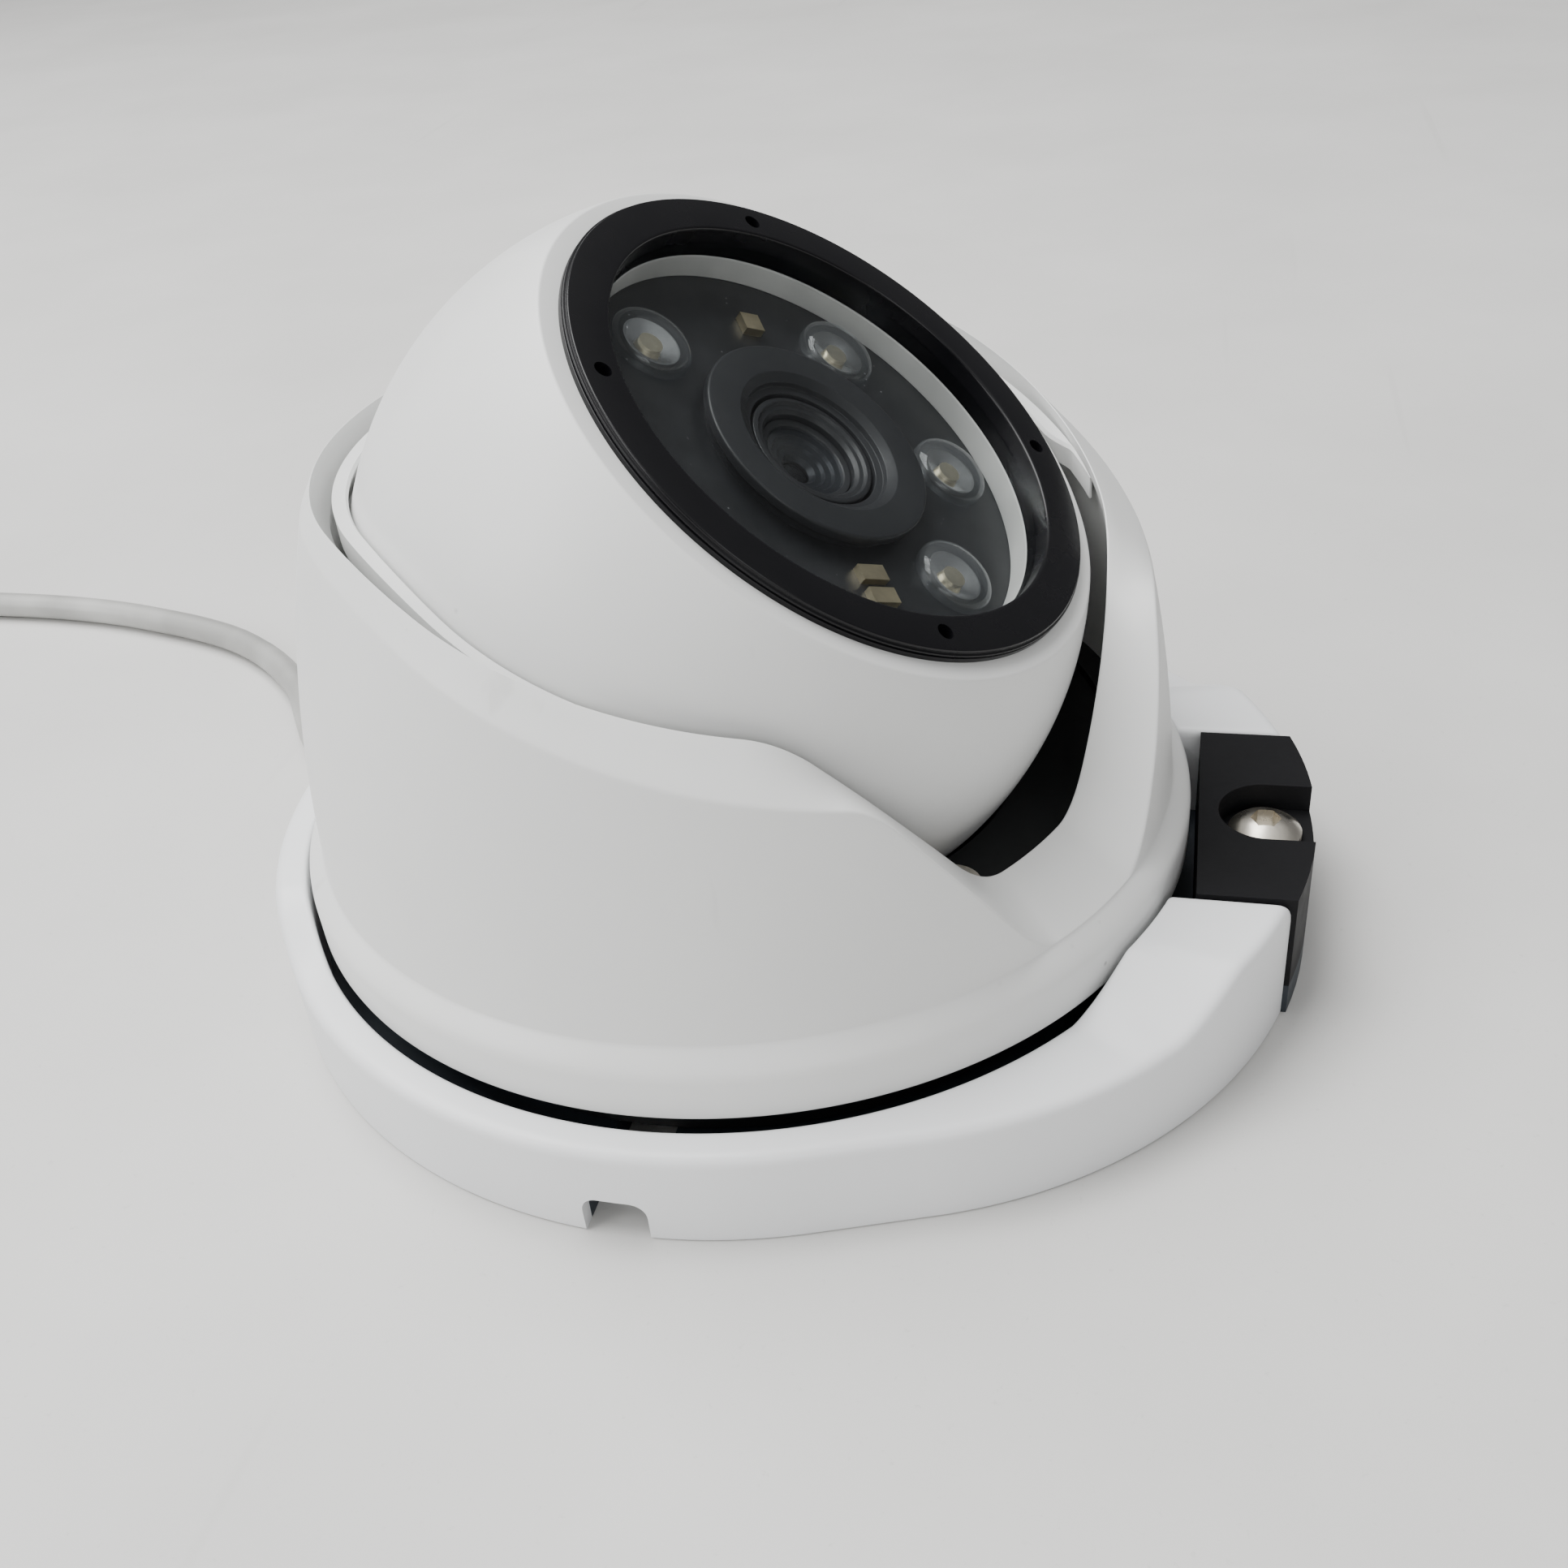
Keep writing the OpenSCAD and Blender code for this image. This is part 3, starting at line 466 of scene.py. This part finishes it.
def ring_column(side, s):
    """The cross-section s of the way from the clamp's cut (0) round to the far side (1)."""
    edge = math.degrees(math.asin(CLAMP_HALF / CUT_R))
    start_in = math.degrees(math.asin(CLAMP_HALF / RING_BORE))
    whole = 180.0
    fade = max(0.0, 1 - s / 0.16)

    def place(r, z):
        reach = max(r * CUT_R / rho, RING_BORE)
        first = math.degrees(math.asin(CLAMP_HALF / reach))
        azimuth = first + (whole - first) * s
        azimuth = azimuth * fade + (edge + (whole - edge) * s) * (1 - fade)
        a = math.radians(azimuth)
        return (r * math.cos(a), side * r * math.sin(a), z)

    outer_az = edge + (whole - edge) * s
    rho = ring_edge(outer_az)
    y = rho * math.sin(math.radians(outer_az))
    gap = s * math.radians(whole) * 50
    drop = 0.0 if gap > EDGE_ROUND else EDGE_ROUND - math.sqrt(EDGE_ROUND ** 2 - (EDGE_ROUND - gap) ** 2)
    top_o = ring_top(y) - drop
    y_in = RING_BORE * math.sin(math.radians(start_in + (whole - start_in) * s))
    top_i = ring_top(y_in) - drop
    corners = [(rho - 1.4, 0, 0), (rho, 0, 0.35), (rho, top_o, 1.25), (RING_BORE, top_i, 0.5),
               (RING_BORE, PLATE_T, 0), (rho - 1.4, PLATE_T, 0)]
    return [place(r, z) for r, z in rounded(corners, 6)]


def add_trim_ring():
    steps = [0, 0.0007, 0.0016, 0.003, 0.0055] + [0.0055 + 0.9945 * k / 230 for k in range(1, 231)]
    columns = [ring_column(1, s) for s in steps] + [ring_column(-1, s) for s in reversed(steps[:-1])]
    n = len(columns[0])
    verts = [spot for column in columns for spot in column]
    faces = []
    for k in range(len(columns) - 1):
        for i in range(n):
            j = (i + 1) % n
            faces.append((k * n + i, (k + 1) * n + i, (k + 1) * n + j, k * n + j))
    faces.append(tuple(range(n)))
    faces.append(tuple(range((len(columns) - 1) * n, len(columns) * n)))
    ring = obj_from("base_ring", verts, faces, RING_WHITE, "mount_base")
    for azimuth in (FRONT_NOTCH, REAR_NOTCH):
        arch = [(-NOTCH_W / 2, -1), (NOTCH_W / 2, -1)]
        arch += [(NOTCH_W / 2 - 1.5 + 1.5 * math.cos(a), NOTCH_H - 1.5 + 1.5 * math.sin(a))
                 for a in [math.pi / 2 * k / 8 for k in range(9)]]
        arch += [(-NOTCH_W / 2 + 1.5 - 1.5 * math.sin(a), NOTCH_H - 1.5 + 1.5 * math.cos(a))
                 for a in [math.pi / 2 * k / 8 for k in range(9)]]
        out = turned(azimuth) @ Matrix(((0, 0, 1, 0), (1, 0, 0, 0), (0, 1, 0, 0), (0, 0, 0, 1)))
        cut(ring, prism("notch", arch, 36, 60, out))
    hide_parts("trim_ring")


# ---------------------------------------------------------------- housing

def wall_radius(z, inset=0.0):
    return WALL_R + ((WALL_Z - BULGE_Z) ** 2 - (z - BULGE_Z) ** 2) / (2 * WALL_BULGE) - inset


def soft_min(a, b, width):
    """The smaller of a and b, with the corner between them rounded."""
    h = min(max(0.5 + 0.5 * (b - a) / width, 0.0), 1.0)
    return b * (1 - h) + a * h - width * h * (1 - h)


def scallop_line(t, floor, floor_half, knee, knee_half):
    """Height of the scallop's edge at a distance t across it: a floor, then a straight side."""
    side = floor + (abs(t) - floor_half) * (knee - floor) / (knee_half - floor_half)
    return -soft_min(-floor, -side, 3.4)


def rim_heights(azimuth):
    """Outer crease and inner edge of the rim in a direction: (r, z), (r, z)."""
    c = math.cos(azimuth - FRONT_AZ)
    z = 45.0
    for _ in range(12):
        z = soft_min(RIM_MID - RIM_SLOPE * wall_radius(z) * c, RIM_MAX, RIM_SOFT)
    r_out = wall_radius(z)
    r_in = LIP_R + 0.7 * smooth_step((c + 0.3) / 0.6)
    z_in = soft_min(LIP_MID - LIP_FALL * c, LIP_MAX, RIM_SOFT)
    if c > 0:
        t_out = r_out * math.sin(azimuth - FRONT_AZ)
        t_in = r_in * math.sin(azimuth - FRONT_AZ)
        z = soft_min(z, scallop_line(t_out * 1.04, 16.6, 7.0, 36.0, 20.6), 2.2)
        z_in = soft_min(z_in, scallop_line(t_in, 20.4, 6.6, 38.5, 20.4), 2.2)
    z = max(z, WALL_Z - 0.6)
    return (wall_radius(max(z, WALL_Z)), z), (r_in, z_in)


def add_shroud():
    count, rows = 720, 26
    verts, faces = [], []
    for k in range(count):
        azimuth = 2 * math.pi * k / count
        (r_c, z_c), (r_i, z_i) = rim_heights(azimuth)
        foot = [(38.6, FOOT_Z), (FOOT_R - 0.4, FOOT_Z), (FOOT_R - 0.1, FOOT_Z + 0.1),
                (FOOT_R, FOOT_Z + 0.4), (FOOT_R, 12.4), (FOOT_R, 13.9), (FOOT_R - 0.08, 14.5),
                (FOOT_R - 0.34, 15.0), (FOOT_R - 0.75, 15.5), (FOOT_R - 1.2, 15.95),
                (WALL_R + 0.35, 16.25), (WALL_R + 0.12, 16.5)]
        low = 16.6
        top = max(z_c - 0.3, low + 0.02)
        wall = [(wall_radius(z) + 0.08 * math.exp(-(z - low)), z)
                for z in (low + (top - low) * i / rows for i in range(rows + 1))]
        edge_in = Vector((r_i, z_i))
        edge_out = Vector((r_c, max(z_c, low + 0.1)))
        slope = edge_in - edge_out
        length = max(slope.length, 0.1)
        u = slope / length
        start = Vector(wall[-1])
        beyond = edge_out + u * min(0.3, length * 0.2)
        crease = [start * (1 - t) ** 2 + edge_out * 2 * t * (1 - t) + beyond * t * t
                  for t in (0.33, 0.66, 1.0)]
        near = edge_in - u * min(0.35, length * 0.2)
        inner_low = Vector((r_i + 0.05, z_i - 0.35))
        bevel = [crease[-1].lerp(near, t) for t in (0.25, 0.5, 0.75, 1.0)]
        lip = [near * (1 - t) ** 2 + edge_in * 2 * t * (1 - t) + inner_low * t * t for t in (0.33, 0.66, 1.0)]
        r_back = min(wall_radius(max(z_i - 3, 17.2), WALL_T), 39.0) if z_i > 24 else 36.5
        inner = [(r_i + 0.1, z_i - 1.2), (r_back, max(z_i - 3.0, 17.4)), (38.7, 17.2), (38.6, 14)]
        loop = foot + wall + [tuple(p) for p in crease + bevel + lip] + inner
        verts += [(r * math.cos(azimuth), r * math.sin(azimuth), z) for r, z in loop]
    n = len(loop)
    for k in range(count):
        m = (k + 1) % count
        for i in range(n):
            j = (i + 1) % n
            faces.append((k * n + i, m * n + i, m * n + j, k * n + j))
    shroud = obj_from("housing", verts, faces, WHITE, "turret", sharp=50)
    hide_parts("shroud")


def add_seat_ring():
    """The lip that holds the ball, just under the rim, and open across the scallop."""
    seat_r, count = BALL_R + 0.35, 300
    columns = []
    for k in range(count + 1):
        azimuth = FRONT_AZ + math.radians(52) + math.radians(256) * k / count
        z_top = rim_heights(azimuth)[1][1] - 1.3
        z_low = z_top - 2.4
        ends = min(k, count - k) / 14
        fade = smooth_step(ends)
        outer = wall_radius(z_top, WALL_T) - 0.05

        def seat(z):
            return math.sqrt(seat_r ** 2 - (z - BALL_Z) ** 2) + (1 - fade) * (outer - 0.4 - seat_r * 0.93)

        loop = [(min(seat(z), outer - 0.2), z) for z in (z_low, z_low + 0.8, z_top - 0.8, z_top - 0.3)]
        loop += [(min(seat(z_top), outer - 0.2) + 0.3, z_top), (outer, z_top), (outer, z_low)]
        columns.append([(r * math.cos(azimuth), r * math.sin(azimuth), z) for r, z in loop])
    n = len(columns[0])
    faces = [(k * n + i, (k + 1) * n + i, (k + 1) * n + (i + 1) % n, k * n + (i + 1) % n)
             for k in range(count) for i in range(n)]
    faces += [tuple(range(n)), tuple(range(count * n, (count + 1) * n))]
    ring = obj_from("seat_lip", [v for column in columns for v in column], faces, WHITE, "turret")
    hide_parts("seat_ring")


# ---------------------------------------------------------------- eyeball

def arc_z(r):
    return math.sqrt(max(BALL_R ** 2 - r ** 2, 0))


def add_eyeball():
    face_r = math.sqrt(BALL_R ** 2 - SHELL_FACE ** 2)
    sphere = []
    a0 = math.asin(SEAM_Z / BALL_R)
    a1 = math.asin(SHELL_FACE / BALL_R) - 0.012
    for k in range(49):
        a = a0 + (a1 - a0) * k / 48
        sphere.append((BALL_R * math.cos(a), BALL_R * math.sin(a), 0))
    front = [(31.5, SEAM_Z, 0)] + sphere + [(face_r, SHELL_FACE, 0.6), (BEZEL_R - 0.95, SHELL_FACE, 0.1),
                                            (BEZEL_R - 0.95, 10, 0), (30, 10, 0)]
    shell = lathe("ball_front", front, WHITE, "eyeball", LENS_FRAME, 256, steps=5)
    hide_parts("front_shell")
    bezel = lathe("bezel", [(BEZEL_R, SHELL_FACE, 0.0), (BEZEL_R, SHELL_FACE + 0.42, 0.08),
                            (BEZEL_R - 0.2, SHELL_FACE + 0.48, 0.03),
                            (BEZEL_R - 0.2, SHELL_FACE + 0.56, 0.03),
                            (BEZEL_R - 0.04, SHELL_FACE + 0.62, 0.05),
                            (BEZEL_R - 0.04, SHELL_FACE + 0.78, 0.05),
                            (BEZEL_R - 0.24, SHELL_FACE + 0.84, 0.03),
                            (BEZEL_R - 0.24, FACE_Z - 0.12, 0.15),
                            (BEZEL_R - 0.3, FACE_Z, 0.15), (WINDOW_R, FACE_Z, 0.3), (WINDOW_R, GLASS_TOP, 0),
                            (WINDOW_R, GLASS_LOW, 0), (WINDOW_R + 1.35, GLASS_LOW, 0),
                            (WINDOW_R + 1.35, BOARD_TOP - 4, 0), (BEZEL_R - 1.05, BOARD_TOP - 4, 0),
                            (BEZEL_R - 1.05, SHELL_FACE, 0)], BLACK, "eyeball", LENS_FRAME, 256, steps=5)
    for k in range(4):
        a = math.radians(49 + 90 * k)
        middle = (BEZEL_R + WINDOW_R) / 2 - 0.2
        hole = prism("hole", circle_points(0.75, 24, middle * math.cos(a), middle * math.sin(a)),
                     FACE_Z - 1.1, FACE_Z + 1, LENS_FRAME)
        cut(bezel, hole)
    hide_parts("front_bezel")
    glass = lathe("window", [(0, GLASS_LOW, 0), (WINDOW_R - 0.02, GLASS_LOW, 0),
                             (WINDOW_R - 0.02, GLASS_TOP - 0.2, 0), (WINDOW_R - 0.2, GLASS_TOP, 0),
                             (0, GLASS_TOP, 0)], GLASS, "eyeball", LENS_FRAME, closed=False)
    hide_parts("window_glass")
    hood = lathe("hood", [(HOOD_R - 0.8, BOARD_TOP, 0), (HOOD_R - 0.8, HOOD_TOP - 0.95, 0.1),
                          (HOOD_R, HOOD_TOP - 0.9, 0.12), (HOOD_R, HOOD_TOP, 0.28),
                          (7.9, HOOD_TOP, 0.25), (7.1, HOOD_TOP - 0.5, 0.1),
                          (7.0, HOOD_TOP - 1.0, 0.1), (6.3, HOOD_TOP - 1.1, 0.1), (6.3, BOARD_TOP - 2.6, 0),
                          (8.7, BOARD_TOP - 2.6, 0), (8.7, BOARD_TOP, 0)], HOOD, "eyeball", LENS_FRAME, 192)
    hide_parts("lens_hood")
    barrel = lathe("barrel", [(6.0, 7.4, 0), (6.0, LENS_TOP - 0.05, 0.15), (5.5, LENS_TOP, 0.1),
                              (5.3, LENS_TOP - 0.3, 0.1), (4.9, LENS_TOP - 0.35, 0.1),
                              (4.6, LENS_TOP - 0.7, 0.1),
                              (4.6, 7.4, 0)], HOOD, "eyeball", LENS_FRAME, 160)
    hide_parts("lens_barrel")
    glass_r, curve_r = 4.58, 9.5
    curve = [(r, LENS_TOP - 0.55 - curve_r + math.sqrt(curve_r ** 2 - r ** 2), 0)
             for r in [glass_r * k / 16 for k in range(17)]]
    front_glass = lathe("lens_element", curve + [(glass_r, LENS_TOP - 3, 0), (0, LENS_TOP - 3, 0)], LENS,
                        "eyeball", LENS_FRAME, 96, closed=False)
    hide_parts("lens_glass")
    add_lens_steps()
    spacer = lathe("spacer", [(WINDOW_R - 0.08, BOARD_TOP, 0.1), (WINDOW_R - 0.08, GLASS_LOW, 0.2),
                              (WINDOW_R + 1.3, GLASS_LOW, 0), (WINDOW_R + 1.3, BOARD_TOP, 0)],
                   SPACER, "eyeball", LENS_FRAME)
    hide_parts("spacer_ring")


def add_lens_steps():
    """The stepped rings round the pupil, which the front element shows."""
    rings = []
    for step in range(4):
        r, z = 4.5 - 0.75 * step, LENS_TOP - 1.15 - 0.42 * step
        rings += [(r, z, 0.05), (r - 0.55, z - 0.12, 0.05)]
    low = rings[-1][1] - 0.5
    steps = lathe("lens_steps", [(4.5, low, 0)] + rings + [(1.3, low, 0)], HOOD, "eyeball", LENS_FRAME, 96)
    arc = [(1.28 * k / 8, low - 0.9 + math.sqrt(2.2 ** 2 - (1.28 * k / 8) ** 2) - 1.1, 0) for k in range(9)]
    pupil = lathe("pupil", arc + [(1.28, low - 0.5, 0), (0, low - 0.5, 0)], BLACK, "eyeball", LENS_FRAME, 48,
                  closed=False)


def add_lamps():
    for number, azimuth in enumerate(LAMP_AZ):
        a = math.radians(azimuth + 90)
        place = LENS_FRAME @ Matrix.Translation((LAMP_CIRCLE * math.cos(a) * MM,
                                                 LAMP_CIRCLE * math.sin(a) * MM, BOARD_TOP * MM))
        dome = [(LAMP_R * math.cos(t), 0.55 + 1.55 * math.sin(t), 0)
                for t in [math.pi / 2 * k / 14 for k in range(15)]]
        dome[-1] = (0, 2.1, 0)
        piece = lathe(f"lamp_{number}", [(LAMP_R, 0.02, 0)] + dome, RESIN, "eyeball", place, 64, closed=False)
        if number == 0:
            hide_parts("ir_lamps")
        cup_line = [(0, 0.12, 0), (1.5, 0.12, 0), (2.5, 0.62, 0), (2.7, 0.62, 0), (2.7, 0.03, 0)]
        cup = lathe(f"lamp_cup_{number}", cup_line, NICKEL, "eyeball", place, 48, closed=False)


# ---------------------------------------------------------------- cable

def spline_object(name, points, diameter, material):
    data = bpy.data.curves.new(name, "CURVE")
    data.dimensions = "3D"
    data.bevel_depth = diameter / 2 * MM
    data.bevel_resolution = 5
    data.resolution_u = 6
    data.use_fill_caps = True
    line = data.splines.new("POLY")
    line.points.add(len(points) - 1)
    for spot, place in zip(line.points, points):
        spot.co = (*(c * MM for c in place), 1)
    data.materials.append(material)
    thing = bpy.data.objects.new(name, data)
    bpy.context.scene.collection.objects.link(thing)
    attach(thing, "mount_base")
    return thing


def smooth_line(points, per=3):
    """Catmull-Rom points through the route's own points."""
    full = [Vector(p) for p in points]
    line = []
    for i in range(len(full) - 1):
        a, b, c, d = full[max(i - 1, 0)], full[i], full[i + 1], full[min(i + 2, len(full) - 1)]
        for k in range(per):
            t = k / per
            line.append(0.5 * ((2 * b) + (c - a) * t + (2 * a - 5 * b + 4 * c - d) * t * t
                               + (3 * b - a - 3 * c + d) * t ** 3))
    line.append(full[-1])
    return line


def add_cables():
    out = (math.cos(math.radians(REAR_NOTCH)), math.sin(math.radians(REAR_NOTCH)))
    start = [(r * out[0], r * out[1], CABLE_Z) for r in (RING_R, RING_R + 5.6)]
    middle = [(EXIT_X + x, EXIT_Y + y, CABLE_Z) for x, y in CABLE_RUN]
    run = smooth_line(start + middle + [(COIL_X, COIL_Y + COIL_R, CABLE_Z)])
    turns = COIL_TURNS + 0.25
    steps = int(turns * 32)
    coil = [(COIL_X + COIL_R * ROUND_IN * math.cos(math.pi / 2 + 2 * math.pi * turns * k / steps),
             COIL_Y + COIL_R * ROUND_IN * math.sin(math.pi / 2 + 2 * math.pi * turns * k / steps),
             CABLE_Z + CABLE_D * turns * k / steps) for k in range(1, steps)]
    drop = COIL_TOP - SPLIT_Z
    away = smooth_line([(OUT_X, COIL_Y - y, COIL_TOP - drop * share) for y, share in RUN_OUT_FALL])
    points = [tuple(p) for p in run[:-1]] + coil + [tuple(p) for p in away]
    lead = spline_object("lead", points, CABLE_D, JACKET)
    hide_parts("cable", "cable_coil", "cable_run_out")
    ends = {"video_tail": (VIDEO_ROUTE, ["video_boot", "video_socket"]),
            "power_tail": (POWER_ROUTE, ["power_boot", "power_jack"])}
    for name, (places, pieces) in ends.items():
        route = [(OUT_X + x, TAIL_Y - y, z) for x, y, z in places]
        route = [tuple(p) for p in smooth_line(route)]
        tail = spline_object(name + "_line", route, TAIL_D, BLOCK)
        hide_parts(name)


# ---------------------------------------------------------------- the rest

def repaint(material, *nodes):
    for name in nodes:
        slots = NODES[name].material_slots
        if not slots:
            NODES[name].data.materials.append(material)
        for slot in slots:
            slot.material = material


def add_floor():
    half, low = 1600.0, -0.02
    corners = [(-half, -half, low), (half, -half, low), (half, half, low), (-half, half, low)]
    floor = plain_object("floor", corners, [(0, 1, 2, 3)])
    floor.data.materials.append(floor_material())


def add_lights():
    """A bright ceiling over a dimmer horizon, so that black glossy faces stay black."""
    world = bpy.data.worlds.new("studio")
    world.use_nodes = True
    nodes, links = world.node_tree.nodes, world.node_tree.links
    split = nodes.new("ShaderNodeSeparateXYZ")
    ramp = nodes.new("ShaderNodeValToRGB")
    links.new(nodes.new("ShaderNodeTexCoord").outputs["Generated"], split.inputs[0])
    links.new(split.outputs["Z"], ramp.inputs[0])
    links.new(ramp.outputs[0], nodes["Background"].inputs["Color"])
    low, high = ramp.color_ramp.elements
    low.position, low.color = 0.5, (0.2, 0.2, 0.205, 1)
    high.position, high.color = 0.95, (1, 1, 0.99, 1)
    nodes["Background"].inputs["Strength"].default_value = 0.9
    bpy.context.scene.world = world
    area_light("key", (-0.35, 0.1, 0.85), (0, 0, 0.03), (0.8, 0.7), 15.0)
    area_light("side", (-0.7, -0.55, 0.5), (0, 0, 0.04), (0.5, 0.6), 5.0)
    area_light("front", (0.35, -0.9, 0.45), (0, 0, 0.03), (0.8, 0.4), 3.0)


add_camera()
add_floor()
add_lights()
add_cables()
add_trim_ring()
add_shroud()
add_seat_ring()
add_eyeball()
add_lamps()

repaint(GAP, "base_plate")
repaint(BLOCK, "clamp_block", "cable_splitter", "video_boot", "power_boot", "power_jack", "coil_tie")
repaint(DARK, "inner_liner", "ball_cradle", "lens_holder")
repaint(STEEL, "block_screws", "ring_screws", "retainer_ring", "retainer_screws", "lock_screw",
        "cradle_screws", "gland_nut", "holder_screws", "board_standoffs", "board_screws")
repaint(BRASS, "lock_insert")
repaint(RUBBER, "cable_grommet", "cable_gland", "shell_seal", "bezel_seal")
repaint(WHITE, "rear_shell")
repaint(NICKEL, "video_socket")
repaint(EMITTER, "lamp_emitters", "board_parts")
repaint(BOARD, "led_board", "sensor_board")
repaint(HOOD, "image_sensor")
